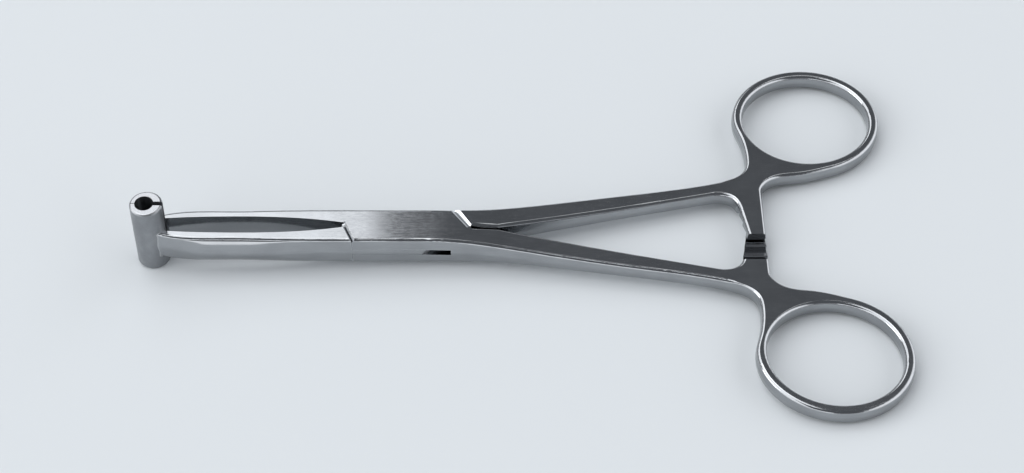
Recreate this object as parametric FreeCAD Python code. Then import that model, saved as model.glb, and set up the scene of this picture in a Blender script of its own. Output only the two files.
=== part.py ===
import FreeCAD, Part
import math
import os

# Ring-handled box lock forceps whose jaws end in a split tube.
# Frame: X runs from the tube to the finger rings, Y is the width, Z the thickness.
# The origin is on the axis of the tube's bore, at the middle of the thickness.
# Both arms start as the same drafted forging. The box arm is that forging turned
# over about X, so its jaw is on the +Y side and its ring on the -Y side. The tongue
# arm passes through it, with its jaw on the -Y side and its ring on the +Y side.

# Main sizes, in millimetres
pivot_x = 48.4
pivot_to_ring = 74.4
box_thickness = 6.2
box_half_width = 4.05
ring_thickness = 3.1

# Forged sides: how far they lean in for each millimetre of height, and their edges
draft = 0.1
edge_radius = 0.6

# Split tube at the tip
tube_radius = 3.0
tube_centre_x = 0.35
bore_radius = 1.7
tube_top = 8.9
tube_bottom = -6.1
tube_edge_radius = 0.45
tip_gap = 0.12
relief_gap = 0.9

# Jaws: how far their sides are from the middle line, and how they widen to the box
jaw_tip_x = 1.0
jaw_tip_outer = 2.4
jaw_tip_inner = 1.35
jaw_neck_x = 5.4
jaw_neck_outer = 3.45
jaw_neck_inner = 1.68
jaw_bow_x = 15.0
jaw_bow = 1.95
jaw_root_bow = 1.75
jaw_root_inner = 0.6
tip_swell_share = 0.6
bow_widening = 0.47
root_widening = 0.87

# Box lock, its tongue and its pin
box_front = 13.1
box_back = 10.2
shoulder_lean = 2.0
heel_lean = 2.9
tongue_thickness = 1.2
slot_clearance = 0.06
shoulder_clearance = 0.06
wall_bevel = 0.65
jaw_bevel = 0.3
heel_bevel = 0.65
slot_front = 6.4
slot_end_lean = 3.4
slot_end_radius = 0.5
tongue_front = 2.9
tongue_back = 1.1
tongue_heel_step = 0.6
pin_radius = 1.6
pin_head_radius = 2.2
pin_head_depth = 0.7
pin_clearance = 0.04

# Shanks: where they start and end, and how far their far side rises above the box's
crotch_from_heel = 5.1
shank_gap = 0.05
heel_rise = 0.3
shank_from_heel = 13.0
shank_start_rise = 2.1
shank_to_ring = 21.6
shank_end_rise = 7.15
shank_end_width = 3.09

# Taper from the box's thickness to the rings': the share of the extra thickness
# that is left after each share of the way
taper_from_pivot = 3.1
taper_to_ring = 28.8
taper_shares = [(0.136, 0.845), (0.271, 0.561), (0.473, 0.271), (0.732, 0.065)]

# Finger rings
ring_y = 28.0
ring_long = 14.1
ring_roundness = 0.93
ring_band = 2.1
ring_turn = 8.3

# Neck from the shank to the ring: its curve in shares of its length, and the angles
# on the ring where it closes in on it, with the distance left as such a share
neck_step = 1.75
neck_length = 5.1
neck_shares = [(-1.0, -0.53), (-0.39, -0.275), (-0.07, 0.12), (0.0, 0.59), (-0.03, 1.14)]
neck_blend = [(190.0, 0.06), (176.0, 0.024)]
neck_end_angle = 160.0

# Web from the ring to the ratchet arm
web_start_angle = -79.0
web_run = 2.8
web_drop = 1.2
web_corner_width = 1.95
web_corner_drop = 2.9

# Ratchet arm, the throat that joins it to the shank, and its teeth
ratchet_to_ring = 9.85
ratchet_width = 3.5
ratchet_reach = 0.75
ratchet_spread = 1.0
throat_length = 5.0
throat_run = 4.85
throat_turn_x = 0.24
throat_turn_y = 0.79
tooth_pitch = 2.5
tooth_count = 3
tooth_depth = 0.65
tooth_lean = 0.2
tooth_land = 0.3
last_tooth_cut = 0.9
ratchet_clearance = 0.05

# How far cutters run past the metal, and how close two places count as the same
overshoot = 2.0
tolerance = 0.1

half_box = box_thickness / 2
half_ring = ring_thickness / 2
ring_short = ring_long * ring_roundness
ring_x = pivot_x + pivot_to_ring
shoulder_x = pivot_x - box_front
heel_x = pivot_x + box_back
crotch_x = heel_x + crotch_from_heel
taper_start_x = pivot_x + taper_from_pivot
taper_end_x = ring_x - taper_to_ring
shank_start = FreeCAD.Vector(heel_x + shank_from_heel, box_half_width + shank_start_rise)
shank_end = FreeCAD.Vector(ring_x - shank_to_ring, box_half_width + shank_end_rise)
shank_slope = (shank_end.y - shank_end_width - shank_gap) / (shank_end.x - crotch_x)
ratchet_right = ring_x - ratchet_to_ring
ratchet_left = ratchet_right - ratchet_width
wide = box_half_width + overshoot
Z = FreeCAD.Vector(0, 0, 1)


def point(x, y, z=0.0):
    return FreeCAD.Vector(x, y, z)


def between(first, last, share):
    return first + (last - first) * share


def curve(points, start=None, end=None):
    """Smooth edge through points, with its end directions where they are given."""
    spline = Part.BSplineCurve()
    if start is None:
        spline.interpolate(points)
    else:
        spline.interpolate(Points=points, InitialTangent=start, FinalTangent=end, Scale=False)
    return spline.toShape()


def inset_curve(points, start, end, inset):
    """The curve through points, moved to the right of its direction of travel."""
    edge = curve(points, start, end)
    moved = []
    for place in points:
        travel = edge.tangentAt(edge.Curve.parameter(place))
        moved.append(place + point(travel.y, -travel.x) * inset)
    first = edge.tangentAt(edge.FirstParameter)
    last = edge.tangentAt(edge.LastParameter)
    return curve(moved, first, last)


def ring_point(angle, inset=0.0):
    """Point on the ring's outline, and the clockwise direction there."""
    turn = math.radians(angle)
    long = ring_long - inset
    short = ring_short - inset
    place = point(long * math.cos(turn), short * math.sin(turn))
    travel = point(long * math.sin(turn), -short * math.cos(turn)).normalize()
    spin = FreeCAD.Rotation(Z, ring_turn)
    return spin.multVec(place) + point(ring_x, ring_y), spin.multVec(travel)


def shank_inner(x):
    return shank_gap + shank_slope * (x - crotch_x)


def shoulder_at(y):
    """X of the diagonal where the tongue arm's jaw meets the box, at a given Y."""
    slope = shoulder_lean / (box_half_width + jaw_root_inner)
    return shoulder_x + slope * (jaw_root_inner - y)


def heel_at(y):
    """X of the diagonal where the tongue arm's shank leaves the box, at a given Y."""
    slope = heel_lean / (box_half_width + shank_gap)
    return heel_x - slope * (y + shank_gap)


def outer_edges(inset):
    """Far side of the box and the shank, the ring, and the web to the ratchet arm."""
    ring_low = ring_y - ring_short
    corner = point(ring_x - ring_long + neck_step, ring_low)
    points = [
        point(shoulder_at(inset - box_half_width), box_half_width),
        point(pivot_x, box_half_width),
        point(heel_x, box_half_width + heel_rise),
        shank_start,
        between(shank_start, shank_end, 0.5),
        shank_end]
    for along, across in neck_shares:
        points.append(corner + point(along, across) * neck_length)
    for angle, share in neck_blend:
        points.append(ring_point(angle, share * neck_length)[0])
    neck_end, neck_way = ring_point(neck_end_angle)
    points.append(neck_end)
    side = inset_curve(points, point(1, 0), neck_way, inset)

    ring_points = []
    steps = 20
    for step in range(steps + 1):
        angle = between(neck_end_angle, web_start_angle, step / steps)
        ring_points.append(ring_point(angle)[0])
    web_start, web_way = ring_point(web_start_angle)
    ring = inset_curve(ring_points, neck_way, web_way, inset)

    web_low = ring_low - 2 * web_drop
    web_points = [
        web_start,
        point(ring_x - web_run, ring_low - web_drop),
        point(ratchet_right + web_corner_width, web_low),
        point(ratchet_right, web_low - web_corner_drop)]
    web = inset_curve(web_points, web_way, point(0, -1), inset)
    return [side, ring, web]


def inner_edges(arm_top, inset):
    """Ratchet arm, throat, and the near side of the shank up to the box's heel."""
    end_left = point(ratchet_left, -ratchet_reach)
    arm_left = point(ratchet_left - ratchet_spread, throat_length)
    shank_x = arm_left.x - throat_run
    shank_left = point(shank_x, shank_inner(shank_x))
    turn_x = between(arm_left.x, shank_left.x, throat_turn_x)
    turn_y = between(arm_left.y, shank_left.y, throat_turn_y)
    arm_way = (arm_left - end_left).normalize()
    shank_way = point(-1, -shank_slope).normalize()
    throat = inset_curve(
        [arm_left, point(turn_x, turn_y), shank_left], arm_way, shank_way, inset)
    throat_start = throat.valueAt(throat.FirstParameter)
    throat_end = throat.valueAt(throat.LastParameter)

    end_right = point(arm_top.x, -ratchet_reach)
    end_left = end_left + point(inset / arm_way.y, 0)
    slant = math.hypot(1, shank_slope)
    crotch = point(crotch_x - inset * (slant - 1) / shank_slope, shank_gap + inset)
    heel_in = point(heel_at(-shank_gap - inset), shank_gap + inset)
    return [
        Part.makeLine(arm_top, end_right),
        Part.makeLine(end_right, end_left),
        Part.makeLine(end_left, throat_start),
        throat,
        Part.makeLine(throat_end, crotch),
        Part.makeLine(crotch, heel_in)]


def jaw_edges(heel_in, inset):
    """Heel, near side of the box and the jaw, its tip, and the inside of the jaw."""
    side = box_half_width - inset
    neck_side = jaw_neck_outer - inset
    tip_side = jaw_tip_outer - inset
    root_x = (jaw_bow_x + shoulder_x) / 2
    heel_out = point(heel_at(side), -side)
    tip_out = point(jaw_tip_x, -tip_side)
    tip_in = point(jaw_tip_x, -jaw_tip_inner)
    outer = curve([
        heel_out,
        point(pivot_x, -side),
        point(shoulder_x, -side),
        point(root_x, -between(neck_side, side, root_widening)),
        point(jaw_bow_x, -between(neck_side, side, bow_widening)),
        point(jaw_neck_x, -neck_side),
        point((jaw_neck_x + jaw_tip_x) / 2, -between(tip_side, neck_side, tip_swell_share)),
        tip_out])
    inside = curve([
        tip_in,
        point(jaw_neck_x, -jaw_neck_inner),
        point(jaw_bow_x, -jaw_bow),
        point(root_x, -jaw_root_bow),
        point(shoulder_x, -jaw_root_inner)])
    return [
        Part.makeLine(heel_in, heel_out),
        outer,
        Part.makeLine(tip_out, tip_in),
        inside]


def outline(inset):
    """Plan of the forging, its drafted sides moved in by inset.

    The ring is on the +Y side and the jaw on the -Y side. The sides that are milled
    stay in place: the diagonals of the box, the inside of the jaw and its tip.
    """
    outer = outer_edges(inset)
    inner = inner_edges(outer[-1].valueAt(outer[-1].LastParameter), inset)
    jaw = jaw_edges(inner[-1].valueAt(inner[-1].LastParameter), inset)
    shoulder_in = point(shoulder_x, -jaw_root_inner)
    shoulder_out = outer[0].valueAt(outer[0].FirstParameter)
    return Part.Wire([Part.makeLine(shoulder_in, shoulder_out)] + outer + inner + jaw)


def half_hole():
    """The finger hole from the middle upwards, widening with the draft."""
    rims = []
    for height in (0.0, half_box):
        long = ring_long - ring_band + draft * height
        short = ring_short - ring_band + draft * height
        rim = Part.Ellipse(point(0, 0), long, short).toShape()
        rim.rotate(point(0, 0), Z, ring_turn)
        rim.translate(point(ring_x, ring_y, height))
        rims.append(Part.Wire([rim]))
    return Part.makeLoft(rims, True, True)


def thickness_envelope():
    """All that lies under the forging's tapering top, from the middle upwards."""
    start = point(-ring_long, 0, half_box)
    finish = point(ring_x + 2 * ring_long, 0, half_ring)
    stations = [point(taper_start_x, 0, half_box)]
    for way, left in taper_shares:
        x = between(taper_start_x, taper_end_x, way)
        stations.append(point(x, 0, between(half_ring, half_box, left)))
    stations.append(point(taper_end_x, 0, half_ring))
    outline_edges = [
        Part.makeLine(start, stations[0]),
        curve(stations, point(1, 0), point(1, 0)),
        Part.makeLine(stations[-1], finish),
        Part.makeLine(finish, point(finish.x, 0)),
        Part.makeLine(point(finish.x, 0), point(start.x, 0)),
        Part.makeLine(point(start.x, 0), start)]
    reach = ring_y + 2 * ring_long
    solid = Part.Face(Part.Wire(outline_edges)).extrude(point(0, 2 * reach))
    solid.translate(point(0, -reach))
    return solid


def is_long_edge(edge):
    """True for the long top edges that are rounded off."""
    box = edge.BoundBox
    if box.ZMin < half_ring / 2:
        return False
    across_taper = box.XLength < tolerance and box.XMax < ring_x - ring_long
    on_shoulder = box.XMax < shoulder_x + shoulder_lean + tolerance and box.YMax > 0
    on_heel = box.XMin > heel_x - heel_lean - tolerance and box.XMax < heel_x + heel_lean
    on_jaw_inside = box.XMax < shoulder_x + tolerance and box.YMin > -jaw_bow - tolerance
    on_tip = box.XMax < jaw_tip_x + tolerance
    on_arm_end = box.YMax < 0 and box.XMin > shank_end.x
    left_sharp = [across_taper, on_shoulder, on_heel, on_jaw_inside, on_tip, on_arm_end]
    return not any(left_sharp)


def forging():
    """One forging before the box, the ratchet and the tip are milled."""
    low = outline(0.0)
    high = outline(draft * half_box)
    high.translate(point(0, 0, half_box))
    half = Part.makeLoft([low, high], True, True).cut(half_hole())
    half = half.common(thickness_envelope())
    long_edges = [edge for edge in half.Edges if is_long_edge(edge)]
    half = half.makeFillet(edge_radius, long_edges)
    return half.fuse(half.mirror(point(0, 0), Z))


def ratchet_cutter():
    """What is milled from under the tongue arm's ratchet, leaving the teeth."""
    crest = ratchet_clearance
    root = ratchet_clearance + tooth_depth
    start = -ratchet_reach - overshoot
    profile = [point(0, start, -half_box), point(0, start, crest)]
    for number in range(tooth_count):
        step = number * tooth_pitch
        profile.append(point(0, step - tooth_land, crest))
        profile.append(point(0, step, crest))
        profile.append(point(0, step + tooth_lean, root))
    last = tooth_count * tooth_pitch - last_tooth_cut
    profile.append(point(0, last, root))
    profile.append(point(0, last + tooth_land, -half_box))
    profile.append(profile[0])
    left = ratchet_left - ratchet_spread - overshoot
    width = ratchet_right + overshoot - left
    cutter = Part.Face(Part.makePolygon(profile)).extrude(point(width, 0))
    cutter.translate(point(left, 0))
    return cutter


def prism(corners, height):
    """Solid over a plan polygon, the same height above and below the middle."""
    places = [point(x, y, -height) for x, y in corners]
    face = Part.Face(Part.makePolygon(places + [places[0]]))
    return face.extrude(point(0, 0, 2 * height))


def bevel_cutter(line, low_y, high_y, size, height, inward):
    """Wedges that bevel the edge along a diagonal, on both faces of the forging."""
    near = point(line(low_y), low_y)
    far = point(line(high_y), high_y)
    along = far - near
    across = point(along.y, -along.x).normalize() * inward
    wedges = []
    for side in (1, -1):
        deep = point(0, 0, side * (height - size))
        high = point(0, 0, side * (height + 2 * size))
        section = [
            near + deep,
            near + across * 3 * size + high,
            near - across * size + high,
            near - across * size + deep,
            near + deep]
        wedges.append(Part.Face(Part.makePolygon(section)).extrude(along))
    return wedges


def heel_height():
    """Half the forging's thickness at the middle of the heel's diagonal."""
    middle = point(heel_x - heel_lean / 2, 0)
    probe = Part.makeLine(middle, middle + Z * half_box)
    return thickness_envelope().common(probe).BoundBox.ZMax


def pivot_pin():
    """Rivet through the box, its countersunk heads ground flush with both faces."""
    shank_length = box_thickness - 2 * pin_head_depth
    shank = Part.makeCylinder(pin_radius, shank_length, point(pivot_x, 0, -shank_length / 2))
    head_at = point(pivot_x, 0, shank_length / 2)
    top = Part.makeCone(pin_radius, pin_head_radius, pin_head_depth, head_at)
    bottom = top.mirror(point(0, 0), Z)
    return shank.fuse([top, bottom]).removeSplitter()


def slot():
    """Slot milled through the box for the tongue, with a rounded near end."""
    near_end = heel_x - slot_end_lean
    far_start = pivot_x - slot_front
    corners = [
        (shoulder_x, jaw_root_inner),
        (far_start, box_half_width),
        (far_start, wide),
        (heel_x + overshoot, wide),
        (heel_x + overshoot, -shank_gap),
        (heel_x, -shank_gap),
        (near_end, -box_half_width),
        (near_end, -wide),
        (shoulder_x - overshoot, -wide),
        (shoulder_x - overshoot, jaw_root_inner)]
    cutter = prism(corners, tongue_thickness / 2 + slot_clearance)
    end_edges = []
    for edge in cutter.Edges:
        box = edge.BoundBox
        starts = abs(box.XMin - near_end) < tolerance
        ends = abs(box.XMax - heel_x) < tolerance
        if starts and ends and box.ZLength < tolerance:
            end_edges.append(edge)
    return cutter.makeFillet(slot_end_radius, end_edges)


def saddle():
    """Room for the tube's outside, cut into the tip of each jaw."""
    height = tube_top - tube_bottom
    return Part.makeCylinder(tube_radius, height, point(tube_centre_x, 0, tube_bottom))


def box_arm():
    """Arm with the slotted box: the +Y jaw, the box walls and the -Y shank and ring."""
    body = forging().cut(ratchet_cutter())
    body.rotate(point(0, 0), point(1, 0), 180)
    cutters = [slot(), pivot_pin(), saddle()]
    cutters += bevel_cutter(shoulder_at, -wide, jaw_root_inner, wall_bevel, half_box, 1)
    cutters += bevel_cutter(heel_at, -shank_gap, wide, wall_bevel, heel_height(), -1)
    return body.cut(cutters)


def tongue_space():
    """Plan of the box walls, where the tongue arm is thinned, with its clearance."""
    return [
        (shoulder_at(wide) - shoulder_clearance, wide),
        (heel_at(wide) + shoulder_clearance, wide),
        (heel_at(-shank_gap) + shoulder_clearance, -shank_gap),
        (heel_x + overshoot, -shank_gap),
        (heel_x + overshoot, -wide),
        (shoulder_at(-wide) - shoulder_clearance, -wide)]


def tongue_arm():
    """Arm whose thin tongue passes through the box: the -Y jaw, the +Y shank and ring."""
    body = forging().cut(ratchet_cutter())
    walls = prism(tongue_space(), box_thickness)
    walls = walls.cut(prism(tongue_space(), tongue_thickness / 2))
    far_start = pivot_x - tongue_front
    near_end = pivot_x + tongue_back
    far_trim = [
        (shoulder_x, 2 * shank_gap),
        (far_start, box_half_width + 2 * shank_gap),
        (far_start, wide),
        (shoulder_x, wide)]
    near_trim = [
        (near_end, -box_half_width - 2 * shank_gap),
        (heel_x - tongue_heel_step, shank_gap),
        (heel_x + overshoot, shank_gap),
        (heel_x + overshoot, -wide),
        (near_end, -wide)]
    hole = Part.makeCylinder(
        pin_radius + pin_clearance, box_thickness, point(pivot_x, 0, -half_box))
    cutters = [walls, prism(far_trim, half_box), prism(near_trim, half_box), hole, saddle()]
    cutters += bevel_cutter(shoulder_at, -wide, jaw_root_inner, jaw_bevel, half_box, -1)
    cutters += bevel_cutter(heel_at, -shank_gap, wide, heel_bevel, heel_height(), 1)
    return body.cut(cutters)


def half_shell(side):
    """One half of the split tube, on the +Y side or the -Y side."""
    height = tube_top - tube_bottom
    tube = Part.makeCylinder(tube_radius, height, point(tube_centre_x, 0, tube_bottom))
    rims = [edge for edge in tube.Edges if edge.BoundBox.ZLength < tolerance]
    tube = tube.makeFillet(tube_edge_radius, rims)
    bore = Part.makeCylinder(bore_radius, height, point(0, 0, tube_bottom))
    width = 2 * tube_radius + overshoot
    other = Part.makeBox(2 * width, width, height)
    other.translate(point(-width, tip_gap / 2 - width, tube_bottom))
    relief = Part.makeBox(width, relief_gap, height)
    relief.translate(point(0, -relief_gap / 2, tube_bottom))
    shell = tube.cut([bore, other, relief])
    if side < 0:
        shell = shell.mirror(point(0, 0), point(0, 1, 0))
    return shell


def main():
    os.makedirs("parts", exist_ok=True)
    parts = {
        "box_arm": box_arm(),
        "tongue_arm": tongue_arm(),
        "pivot_pin": pivot_pin(),
        "far_jaw_shell": half_shell(1),
        "near_jaw_shell": half_shell(-1)}
    for name, shape in parts.items():
        solid = shape.Solids[0]
        solid.exportStep("parts/" + name + ".step")
        print(name, len(shape.Solids), "solid", solid.isValid(), round(solid.Volume, 1))


main()
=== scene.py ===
import math

import bmesh
import bpy
from mathutils import Matrix, Vector
from mathutils.bvhtree import BVHTree


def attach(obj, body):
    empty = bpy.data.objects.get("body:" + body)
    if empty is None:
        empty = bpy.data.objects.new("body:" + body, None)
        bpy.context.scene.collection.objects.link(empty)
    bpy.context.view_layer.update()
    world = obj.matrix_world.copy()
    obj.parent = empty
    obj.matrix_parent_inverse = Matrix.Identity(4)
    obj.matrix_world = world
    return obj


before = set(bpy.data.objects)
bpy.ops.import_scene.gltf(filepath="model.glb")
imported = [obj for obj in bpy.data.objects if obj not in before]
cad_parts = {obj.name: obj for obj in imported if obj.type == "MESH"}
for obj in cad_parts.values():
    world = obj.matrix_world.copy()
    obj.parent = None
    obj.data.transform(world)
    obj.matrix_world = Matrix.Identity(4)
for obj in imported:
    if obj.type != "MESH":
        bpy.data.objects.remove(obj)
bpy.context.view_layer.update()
scene = bpy.context.scene
MM = 0.001

# Camera, fitted to the photograph
IMAGE_WIDTH = 1024
SENSOR_WIDTH = 36.0
CLIP_START = 10.0
FOCAL_PIXELS = 2170.3
CAMERA_TARGET = Vector((66.34, -1.79, 0.0)) * MM
CAMERA_DISTANCE = 396.95 * MM
CAMERA_ELEVATION = math.radians(50.0)
CAMERA_AZIMUTH = math.radians(-1.486)
CAMERA_ROLL = math.radians(-1.191)
CAMERA_DROP_PIXELS = 6.7

# Floor, tilted so that the tube's lower end and the rings rest on it. The two places are
# given by their X and Z in millimetres.
REST_TUBE = (2.9, -6.1)
REST_RING = (136.3, -1.55)
FLOOR_GAP = 0.02
FLOOR_HALF = 3000.0
FLOOR_COLOUR = (0.757, 0.789, 0.811)
FLOOR_ROUGHNESS = 0.9

# Studio surround, as the metal mirrors it. It is bright on the left, which the flat tops
# of the jaws mirror, dark in the middle, which the tops at the ring end mirror, and
# bright again on the far right. Two dark bands lie in the bright left: one round the
# camera and one low at the back. Each edge and band is a span of the X, Y or Z of the
# direction that is looked in, over which the change is softened.
SKY_LEFT = (1.55, 1.58, 1.62)
SKY_RIGHT = (1.40, 1.42, 1.46)
SKY_DARK = (0.125, 0.132, 0.143)
SKY_GLOW = (0.21, 0.217, 0.23)
SKY_HORIZON = (0.56, 0.57, 0.59)
LEFT_EDGE = (-0.050, -0.034)
GLOW_EDGE = (-0.03, 0.06)
RIGHT_EDGE = (0.40, 0.66)
HORIZON_EDGE = (0.12, 0.34)
BACK_BAND_Y = (0.10, 0.35)
BACK_BAND_Z = (0.40, 0.60)
CAMERA_BAND_X = (-0.55, -0.40)
CAMERA_BAND_Y = (-0.30, -0.12)
CAMERA_BAND_Z = (0.20, 0.42)

# Lamps: place, the point each looks at, size in millimetres, and radiance
SOFT_BOXES = {
    "softbox_left": ((-1040, -40, 440), (0, 0, 0), (680, 520), 2.4),
    "softbox_back": ((60, 420, 1040), (60, 0, 0), (1000, 300), 0.9)}

# Rounded outer sides of the jaws, laid over the drafted ones, in millimetres. CROWN_EDGE
# stays free above and below, the edges sink into the arm's surface by CROWN_SINK, and
# the closed back lies CROWN_BACK behind it. The mesh has CROWN_ROWS over the height and
# a column every CROWN_STEP. JAW_CROWN gives the bulge at places along X.
CROWN_EDGE = 0.30
CROWN_SINK = 0.03
CROWN_BACK = 0.3
CROWN_ROWS = 24
CROWN_STEP = 0.6
JAW_CROWN = ((3.2, 0.0), (11.0, 0.72), (18.0, 0.72), (34.6, 0.0))

# Rays that find the arm's surface start RAY_START millimetres off its middle. Those from
# above scan its width in steps to either side.
RAY_START = 20.0
SCAN_STEP = 0.1
SCAN_STEPS = 60

# Metals: darker and lighter base colour, and the range of the roughness
ARM_STEEL = ((0.455, 0.468, 0.485), (0.515, 0.53, 0.548), (0.07, 0.15))
PIN_STEEL = ((0.45, 0.463, 0.48), (0.51, 0.525, 0.543), (0.08, 0.16))
BRAZE_METAL = ((0.56, 0.57, 0.58), (0.66, 0.67, 0.68), (0.12, 0.24))
TUBE_STEEL = ((0.27, 0.28, 0.294), (0.335, 0.346, 0.36), (0.36, 0.48))
TUBE_END_COLOUR = (0.50, 0.51, 0.53)
TUBE_END_SMOOTHNESS = 0.2
TUBE_UPPER_END = (8.80, 8.88)
TUBE_LOWER_END = (-6.08, -6.0)

# Grain: waves per metre along X, Y and Z, then detail and roughness of the noise. The
# spans are the parts of a noise that are spread over a whole range.
BRUSH_NOISE = ((180.0, 5200.0, 5200.0), 3.0, 0.6)
CLOUD_NOISE = ((160.0, 260.0, 260.0), 4.0, 0.55)
SCUFF_NOISE = ((900.0, 2600.0, 2600.0), 5.0, 0.7)
BLAST_NOISE = ((4200.0, 4200.0, 4200.0), 3.0, 0.6)
TUBE_CLOUD_NOISE = ((300.0, 300.0, 220.0), 3.0, 0.5)
TONE_SPAN = (0.35, 0.65)
WORN_SPAN = (0.36, 0.66)
TUBE_SPAN = (0.3, 0.7)
TONE_BRUSH_SHARE = 0.3
WORN_BRUSH_SHARE = 0.4

# Fine relief: strength, and depth in millimetres
BRUSH_RELIEF = (0.12, 0.006)
BLAST_RELIEF = (0.25, 0.01)

# Wear of the steels: how wide the bright edges are, and how much lighter and smoother
# they are. Painted shade: how much darker the upright sides and the narrow gaps are made
ARM_EDGE = 0.2
TUBE_EDGE = 0.3
EDGE_LIGHTER = 1.12
EDGE_SMOOTHER = 0.03
TUBE_EDGE_SHARE = 0.35
SIDE_PAINTED_SHADE = 0.26
CREVICE_PAINTED_SHADE = 0.85
CREVICE_REACH = 1.5
SIDE_SPAN = (0.3, 0.8)
CREVICE_SPAN = (0.2, 0.65)
EDGE_SPAN = (0.90, 0.995)
MASK_SAMPLES = 6

# Soft change from the box's flat top to the shanks' taper, in millimetres along X
TAPER_START = 51.5
TAPER_SOFTNESS = 12.0
TAPER_SLOPE = 0.0255

# Bead of braze where each jaw tip meets its half of the tube, in millimetres and degrees
# round the tube's axis
BRAZE_RADIUS = 0.27
BRAZE_TUBE_RADIUS = 3.0
BRAZE_HALF_HEIGHT = 3.1
BRAZE_ANGLES = (33.0, 50.0)
BRAZE_STEPS = 12
BRAZE_SIDES = 16
BRAZE_WAVE = 0.12
BRAZE_WAVE_TURN = 1.7
BRAZE_END_SHARE = 0.25
BRAZE_END_GROWTH = 0.3


def add_camera():
    data = bpy.data.cameras.new("camera")
    data.sensor_width = SENSOR_WIDTH
    data.lens = FOCAL_PIXELS / IMAGE_WIDTH * SENSOR_WIDTH
    data.shift_y = CAMERA_DROP_PIXELS / IMAGE_WIDTH
    data.clip_start = CLIP_START * MM
    camera = bpy.data.objects.new("camera", data)
    scene.collection.objects.link(camera)
    flat = math.cos(CAMERA_ELEVATION)
    back = Vector((math.sin(CAMERA_AZIMUTH) * flat, -math.cos(CAMERA_AZIMUTH) * flat,
                   math.sin(CAMERA_ELEVATION)))
    level = Vector((math.cos(CAMERA_AZIMUTH), math.sin(CAMERA_AZIMUTH), 0.0))
    upright = back.cross(level)
    right = level * math.cos(CAMERA_ROLL) - upright * math.sin(CAMERA_ROLL)
    up = level * math.sin(CAMERA_ROLL) + upright * math.cos(CAMERA_ROLL)
    place = CAMERA_TARGET + back * CAMERA_DISTANCE
    turn = Matrix((right, up, back)).transposed().to_4x4()
    camera.matrix_world = Matrix.Translation(place) @ turn
    scene.camera = camera


class Nodes:
    """Short calls that add and link the nodes of one tree."""

    def __init__(self, tree):
        self.tree = tree

    def add(self, kind, settings=None, **inputs):
        """A new node. Each input is given a value or linked to another node's output."""
        node = self.tree.nodes.new(kind)
        for key, value in (settings or {}).items():
            setattr(node, key, value)
        for key, value in inputs.items():
            self.put(node.inputs[key.replace("_", " ")], value)
        return node

    def put(self, socket, value):
        if isinstance(value, bpy.types.NodeSocket):
            self.tree.links.new(value, socket)
        else:
            socket.default_value = value

    def place(self, scale):
        """The object's own coordinates, times a scale per metre along each axis."""
        where = self.add("ShaderNodeTexCoord").outputs["Object"]
        mapping = self.add("ShaderNodeMapping", Vector=where, Scale=scale)
        return mapping.outputs["Vector"]

    def noise(self, scale, detail, roughness):
        node = self.add("ShaderNodeTexNoise", Vector=self.place(scale), Scale=1.0,
                        Detail=detail, Roughness=roughness)
        return node.outputs["Fac"]

    def span(self, value, from_low, from_high, to_low, to_high):
        """The value, carried softly from one range to the other."""
        node = self.add("ShaderNodeMapRange", {"interpolation_type": "SMOOTHSTEP"},
                        Value=value)
        for index, limit in enumerate((from_low, from_high, to_low, to_high), 1):
            self.put(node.inputs[index], limit)
        return node.outputs["Result"]

    def blend(self, share, first, second):
        """Two colours, mixed by a share of the second."""
        node = self.add("ShaderNodeMix", {"data_type": "RGBA"})
        self.put(node.inputs[0], share)
        for index, colour in ((6, first), (7, second)):
            if isinstance(colour, tuple):
                colour = (*colour, 1.0)
            self.put(node.inputs[index], colour)
        return node.outputs[2]

    def maths(self, kind, *values):
        node = self.add("ShaderNodeMath", {"operation": kind})
        for index, value in enumerate(values):
            self.put(node.inputs[index], value)
        return node.outputs[0]

    def mixture(self, first, second, share):
        """Two values, mixed by a share of the second."""
        return self.maths("ADD", self.maths("MULTIPLY", first, 1.0 - share),
                          self.maths("MULTIPLY", second, share))

    def relief(self, height, strength, depth):
        return self.add("ShaderNodeBump", Strength=strength, Distance=depth * MM,
                        Height=height)

    def crease(self):
        """A height for the bump that rounds the crease where the shanks' taper starts."""
        where = self.add("ShaderNodeTexCoord").outputs["Object"]
        across = self.add("ShaderNodeSeparateXYZ", Vector=where).outputs["X"]
        off = self.maths("SUBTRACT", across, TAPER_START * MM)
        off = self.maths("ABSOLUTE", off)
        share = self.maths("DIVIDE", off, TAPER_SOFTNESS * MM)
        share = self.maths("SUBTRACT", 1.0, share)
        share = self.maths("MAXIMUM", share, 0.0)
        depth = TAPER_SLOPE * TAPER_SOFTNESS * MM / 4.0
        return self.maths("MULTIPLY", self.maths("MULTIPLY", share, share), -depth)

    def sides(self):
        """1 on upright surfaces, 0 on the flat tops and undersides."""
        normal = self.add("ShaderNodeTexCoord").outputs["Normal"]
        up = self.add("ShaderNodeSeparateXYZ", Vector=normal).outputs["Z"]
        # This mask places the painted shade on the upright sides
        return self.span(self.maths("ABSOLUTE", up), *SIDE_SPAN, 1.0, 0.0)

    def crevices(self):
        """1 deep inside narrow slots and gaps, 0 on open surfaces."""
        # Ambient occlusion gives the mask of the painted shade in slots and gaps
        shelter = self.add("ShaderNodeAmbientOcclusion", {"samples": MASK_SAMPLES},
                           Distance=CREVICE_REACH * MM)
        return self.span(shelter.outputs["AO"], *CREVICE_SPAN, 1.0, 0.0)

    def edges(self, radius):
        """1 along sharp and rounded edges, 0 on flat surfaces."""
        round_normal = self.add("ShaderNodeBevel", {"samples": MASK_SAMPLES},
                                Radius=radius * MM)
        flat_normal = self.add("ShaderNodeNewGeometry").outputs["Normal"]
        dot = self.add("ShaderNodeVectorMath", {"operation": "DOT_PRODUCT"})
        self.put(dot.inputs[0], round_normal.outputs["Normal"])
        self.put(dot.inputs[1], flat_normal)
        return self.span(dot.outputs["Value"], *EDGE_SPAN, 1.0, 0.0)


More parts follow.
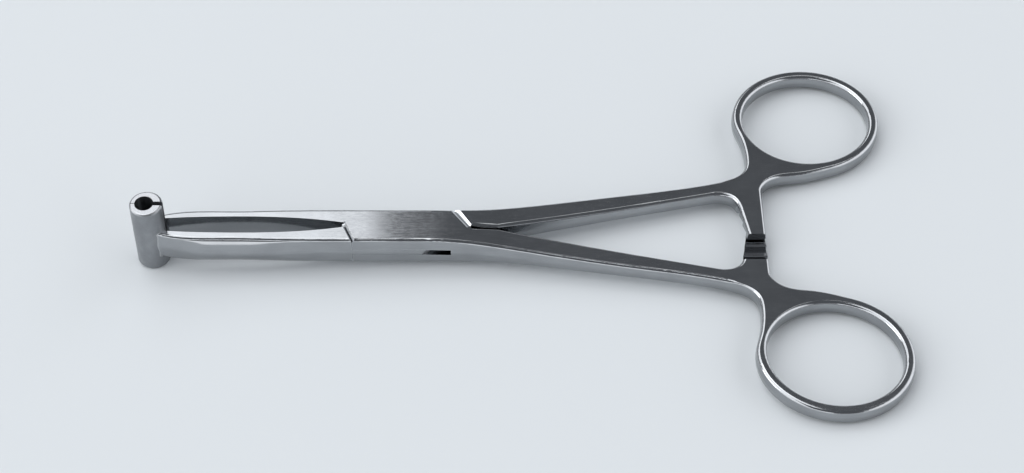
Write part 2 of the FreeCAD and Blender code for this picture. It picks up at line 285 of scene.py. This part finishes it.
def new_material(name):
    material = bpy.data.materials.new(name)
    material.use_nodes = True
    shader = material.node_tree.nodes["Principled BSDF"]
    return material, Nodes(material.node_tree), shader


def arm_metal(name, finish, tapered=True):
    """Fine satin metal, brushed along X and brighter on its edges. Painted shade darkens
    its upright sides and narrow gaps. Tapered metal also gets the soft change to the
    shanks' taper."""
    dark, light, rough_range = finish
    material, nodes, shader = new_material(name)
    brush = nodes.noise(*BRUSH_NOISE)
    cloud = nodes.noise(*CLOUD_NOISE)
    scuff = nodes.noise(*SCUFF_NOISE)
    edge = nodes.edges(ARM_EDGE)

    tone = nodes.mixture(cloud, brush, TONE_BRUSH_SHARE)
    colour = nodes.blend(nodes.span(tone, *TONE_SPAN, 0.0, 1.0), dark, light)
    bright = tuple(part * EDGE_LIGHTER for part in light)
    # Painted shade: the base colour goes towards black on upright sides and deep in
    # narrow gaps
    painted_shade = nodes.maths("MAXIMUM", nodes.maths("MULTIPLY", nodes.sides(), SIDE_PAINTED_SHADE),
                       nodes.maths("MULTIPLY", nodes.crevices(), CREVICE_PAINTED_SHADE))
    colour = nodes.blend(painted_shade, colour, (0.0, 0.0, 0.0))
    nodes.put(shader.inputs["Base Color"], nodes.blend(edge, colour, bright))

    worn = nodes.mixture(scuff, brush, WORN_BRUSH_SHARE)
    rough = nodes.span(worn, *WORN_SPAN, *rough_range)
    smoother = nodes.maths("MULTIPLY", edge, EDGE_SMOOTHER)
    nodes.put(shader.inputs["Roughness"], nodes.maths("SUBTRACT", rough, smoother))
    bump = nodes.relief(brush, *BRUSH_RELIEF)
    if tapered:
        soft = nodes.add("ShaderNodeBump", Strength=1.0, Distance=1.0,
                         Height=nodes.crease())
        nodes.put(bump.inputs["Normal"], soft.outputs["Normal"])
    nodes.put(shader.inputs["Normal"], bump.outputs["Normal"])
    shader.inputs["Metallic"].default_value = 1.0
    return material


def tube_metal(name, finish):
    """Matt blasted steel, with the tube's upper and lower ends ground bright."""
    dark, light, rough_range = finish
    material, nodes, shader = new_material(name)
    grain = nodes.noise(*BLAST_NOISE)
    cloud = nodes.noise(*TUBE_CLOUD_NOISE)
    edge = nodes.edges(TUBE_EDGE)
    where = nodes.add("ShaderNodeTexCoord").outputs["Object"]
    height = nodes.add("ShaderNodeSeparateXYZ", Vector=where).outputs["Z"]
    upper = nodes.span(height, *(z * MM for z in TUBE_UPPER_END), 0.0, 1.0)
    lower = nodes.span(height, *(z * MM for z in TUBE_LOWER_END), 1.0, 0.0)
    ends = nodes.maths("MAXIMUM", nodes.maths("MAXIMUM", upper, lower),
                       nodes.maths("MULTIPLY", edge, TUBE_EDGE_SHARE))

    satin = nodes.blend(nodes.span(cloud, *TUBE_SPAN, 0.0, 1.0), dark, light)
    nodes.put(shader.inputs["Base Color"], nodes.blend(ends, satin, TUBE_END_COLOUR))
    rough = nodes.span(grain, *TUBE_SPAN, *rough_range)
    smoother = nodes.maths("MULTIPLY", ends, TUBE_END_SMOOTHNESS)
    nodes.put(shader.inputs["Roughness"], nodes.maths("SUBTRACT", rough, smoother))
    bump = nodes.relief(grain, *BLAST_RELIEF)
    nodes.put(shader.inputs["Normal"], bump.outputs["Normal"])
    shader.inputs["Metallic"].default_value = 1.0
    return material


def dress_nodes():
    """Gives the CAD nodes their materials, and returns the one of the arms."""
    arm = arm_metal("arm_steel", ARM_STEEL)
    pin = arm_metal("pin_steel", PIN_STEEL)
    tube = tube_metal("tube_steel", TUBE_STEEL)
    dress = {
        "box_arm": arm,
        "tongue_arm": arm,
        "pivot_pin": pin,
        "far_jaw_shell": tube,
        "near_jaw_shell": tube}
    for name, material in dress.items():
        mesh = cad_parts[name].data
        mesh.materials.clear()
        mesh.materials.append(material)
    return arm


def value_at(table, x):
    """The table's value at x, eased between its places and 0 outside them."""
    for (start, low), (end, high) in zip(table, table[1:]):
        if start <= x <= end:
            share = (x - start) / (end - start)
            share = share * share * (3.0 - 2.0 * share)
            return low + (high - low) * share
    return 0.0


def cast(tree, x, z, side):
    """How far from the middle plane the arm's side lies at x and z, in millimetres."""
    start = Vector((x, side * RAY_START, z)) * MM
    hit = tree.ray_cast(start, Vector((0.0, -side, 0.0)))[0]
    return hit.y * side / MM


def arm_half_height(tree, x):
    """Half the arm's thickness at x, in millimetres, found from above."""
    highest = 0.0
    for step in range(-SCAN_STEPS, SCAN_STEPS + 1):
        start = Vector((x, step * SCAN_STEP, RAY_START)) * MM
        hit = tree.ray_cast(start, Vector((0.0, 0.0, -1.0)))[0]
        if hit is not None:
            highest = max(highest, hit.z / MM)
    return highest


def add_piece(name, mesh_data, body, material):
    """Turns the mesh data into a smooth piece that rides on a body."""
    for face in mesh_data.faces:
        face.smooth = True
    mesh = bpy.data.meshes.new(name)
    mesh_data.to_mesh(mesh)
    mesh_data.free()
    mesh.materials.append(material)
    piece = bpy.data.objects.new(name, mesh)
    scene.collection.objects.link(piece)
    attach(piece, body)


def add_crown(name, node, side, body, table, material):
    """A rounded side over the arm's drafted one, towards +Y or -Y as side says."""
    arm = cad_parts[node]
    turn = arm.matrix_world
    corners = [turn @ vertex.co for vertex in arm.data.vertices]
    tree = BVHTree.FromPolygons(corners, [tuple(face.vertices)
                                          for face in arm.data.polygons])
    first, last = table[0][0], table[-1][0]
    columns = int((last - first) / CROWN_STEP)
    mesh_data = bmesh.new()
    front, back = [], []
    for column in range(columns + 1):
        x = first + (last - first) * column / columns
        reach = arm_half_height(tree, x) - CROWN_EDGE
        front_row, back_row = [], []
        for row in range(CROWN_ROWS + 1):
            share = 2.0 * row / CROWN_ROWS - 1.0
            z = reach * share
            flat = cast(tree, x, z, side)
            bulge = value_at(table, x) * (1.0 - share * share)
            out = flat + bulge - CROWN_SINK
            behind = flat - CROWN_BACK
            front_row.append(mesh_data.verts.new(Vector((x, out * side, z)) * MM))
            back_row.append(mesh_data.verts.new(Vector((x, behind * side, z)) * MM))
        front.append(front_row)
        back.append(back_row)
    for column in range(columns):
        for row in range(CROWN_ROWS):
            for grid in (front, back):
                mesh_data.faces.new((grid[column][row], grid[column + 1][row],
                                     grid[column + 1][row + 1], grid[column][row + 1]))
        for row in (0, CROWN_ROWS):
            mesh_data.faces.new((front[column][row], front[column + 1][row],
                                 back[column + 1][row], back[column][row]))
    for column in (0, columns):
        for row in range(CROWN_ROWS):
            mesh_data.faces.new((front[column][row], front[column][row + 1],
                                 back[column][row + 1], back[column][row]))
    bmesh.ops.recalc_face_normals(mesh_data, faces=mesh_data.faces)
    add_piece(name, mesh_data, body, material)


def braze_path():
    """The bead's middle line: over the jaw tip's root, down its side and under it."""
    start, end = (math.radians(angle) for angle in BRAZE_ANGLES)
    line = []
    for step in range(BRAZE_STEPS + 1):
        angle = start + (end - start) * step / BRAZE_STEPS
        line.append((angle, BRAZE_HALF_HEIGHT))
    for step in range(1, BRAZE_STEPS):
        line.append((end, BRAZE_HALF_HEIGHT * (1 - 2 * step / BRAZE_STEPS)))
    line += [(angle, -height) for angle, height in line[BRAZE_STEPS::-1]]
    return [Vector((BRAZE_TUBE_RADIUS * math.cos(angle),
                    BRAZE_TUBE_RADIUS * math.sin(angle), height))
            for angle, height in line]


def add_braze(name, side, body, material):
    """A slightly uneven bead along the braze path, thinner towards its two ends."""
    path = braze_path()
    mesh_data = bmesh.new()
    loops = []
    for index, place in enumerate(path):
        before, after = path[max(index - 1, 0)], path[min(index + 1, len(path) - 1)]
        along = (after - before).normalized()
        out = Vector((place.x, place.y, 0.0)).normalized()
        sideways = along.cross(out).normalized()
        out = sideways.cross(along).normalized()
        from_end = min(index, len(path) - 1 - index)
        radius = BRAZE_RADIUS * (1.0 + BRAZE_WAVE * math.sin(index * BRAZE_WAVE_TURN))
        radius *= math.sqrt(min(1.0, BRAZE_END_SHARE + from_end * BRAZE_END_GROWTH))
        loop = []
        for turn in range(BRAZE_SIDES):
            angle = 2.0 * math.pi * turn / BRAZE_SIDES
            point = place + (out * math.cos(angle) + sideways * math.sin(angle)) * radius
            loop.append(mesh_data.verts.new((point.x * MM, point.y * side * MM,
                                             point.z * MM)))
        loops.append(loop)
    for first, second in zip(loops, loops[1:]):
        for turn in range(BRAZE_SIDES):
            after = (turn + 1) % BRAZE_SIDES
            mesh_data.faces.new((first[turn], first[after], second[after], second[turn]))
    mesh_data.faces.new(loops[0])
    mesh_data.faces.new(loops[-1])
    bmesh.ops.recalc_face_normals(mesh_data, faces=mesh_data.faces)
    add_piece(name, mesh_data, body, material)


def add_floor():
    slope = (REST_RING[1] - REST_TUBE[1]) / (REST_RING[0] - REST_TUBE[0])
    corners = []
    for across, along in ((-1, -1), (1, -1), (1, 1), (-1, 1)):
        x = across * FLOOR_HALF
        z = REST_TUBE[1] + slope * (x - REST_TUBE[0]) - FLOOR_GAP
        corners.append((x * MM, along * FLOOR_HALF * MM, z * MM))
    mesh = bpy.data.meshes.new("floor")
    mesh.from_pydata(corners, [], [(0, 1, 2, 3)])
    floor = bpy.data.objects.new("floor", mesh)
    scene.collection.objects.link(floor)
    material, _, shader = new_material("floor")
    shader.inputs["Base Color"].default_value = (*FLOOR_COLOUR, 1.0)
    shader.inputs["Roughness"].default_value = FLOOR_ROUGHNESS
    shader.inputs["Specular IOR Level"].default_value = 0.0
    mesh.materials.append(material)


def add_soft_box(name, place, aim, size, radiance):
    """A rectangular lamp, with the power that gives its face the radiance."""
    data = bpy.data.lights.new(name, "AREA")
    data.shape = "RECTANGLE"
    data.size = size[0] * MM
    data.size_y = size[1] * MM
    data.energy = radiance * math.pi * data.size * data.size_y
    light = bpy.data.objects.new(name, data)
    scene.collection.objects.link(light)
    light.location = Vector(place) * MM
    way = (Vector(aim) - Vector(place)) * MM
    light.rotation_euler = way.to_track_quat("-Z", "Y").to_euler()


def add_surround():
    """The world's light, by direction."""
    world = bpy.data.worlds.new("surround")
    scene.world = world
    world.use_nodes = True
    nodes = Nodes(world.node_tree)
    way = nodes.add("ShaderNodeTexCoord").outputs["Generated"]
    across, along, up = nodes.add("ShaderNodeSeparateXYZ", Vector=way).outputs
    band = nodes.maths("MULTIPLY", nodes.span(across, *CAMERA_BAND_X, 0.0, 1.0),
                       nodes.span(along, *CAMERA_BAND_Y, 1.0, 0.0))
    band = nodes.maths("MULTIPLY", band, nodes.span(up, *CAMERA_BAND_Z, 0.0, 1.0))
    back = nodes.maths("MULTIPLY", nodes.span(along, *BACK_BAND_Y, 0.0, 1.0),
                       nodes.span(up, *BACK_BAND_Z, 1.0, 0.0))
    clear = nodes.maths("SUBTRACT", 1.0, nodes.maths("MAXIMUM", band, back))
    lit = nodes.maths("MULTIPLY", nodes.span(across, *LEFT_EDGE, 1.0, 0.0), clear)
    glow = nodes.maths("MULTIPLY", nodes.span(across, *GLOW_EDGE, 1.0, 0.0), clear)
    low = nodes.span(up, *HORIZON_EDGE, 1.0, 0.0)
    right = nodes.span(across, *RIGHT_EDGE, 0.0, 1.0)
    colour = nodes.blend(glow, SKY_DARK, SKY_GLOW)
    colour = nodes.blend(low, colour, SKY_HORIZON)
    colour = nodes.blend(right, colour, SKY_RIGHT)
    colour = nodes.blend(lit, colour, SKY_LEFT)
    nodes.put(world.node_tree.nodes["Background"].inputs["Color"], colour)


add_camera()
arm_steel = dress_nodes()
add_crown("far_jaw_side", "box_arm", 1, "box_half", JAW_CROWN, arm_steel)
add_crown("near_jaw_side", "tongue_arm", -1, "tongue_half", JAW_CROWN, arm_steel)
braze = arm_metal("braze", BRAZE_METAL, tapered=False)
add_braze("far_jaw_braze", 1, "box_half", braze)
add_braze("near_jaw_braze", -1, "tongue_half", braze)
add_floor()
for box_name, box_values in SOFT_BOXES.items():
    add_soft_box(box_name, *box_values)
add_surround()

scene.view_settings.view_transform = "Standard"
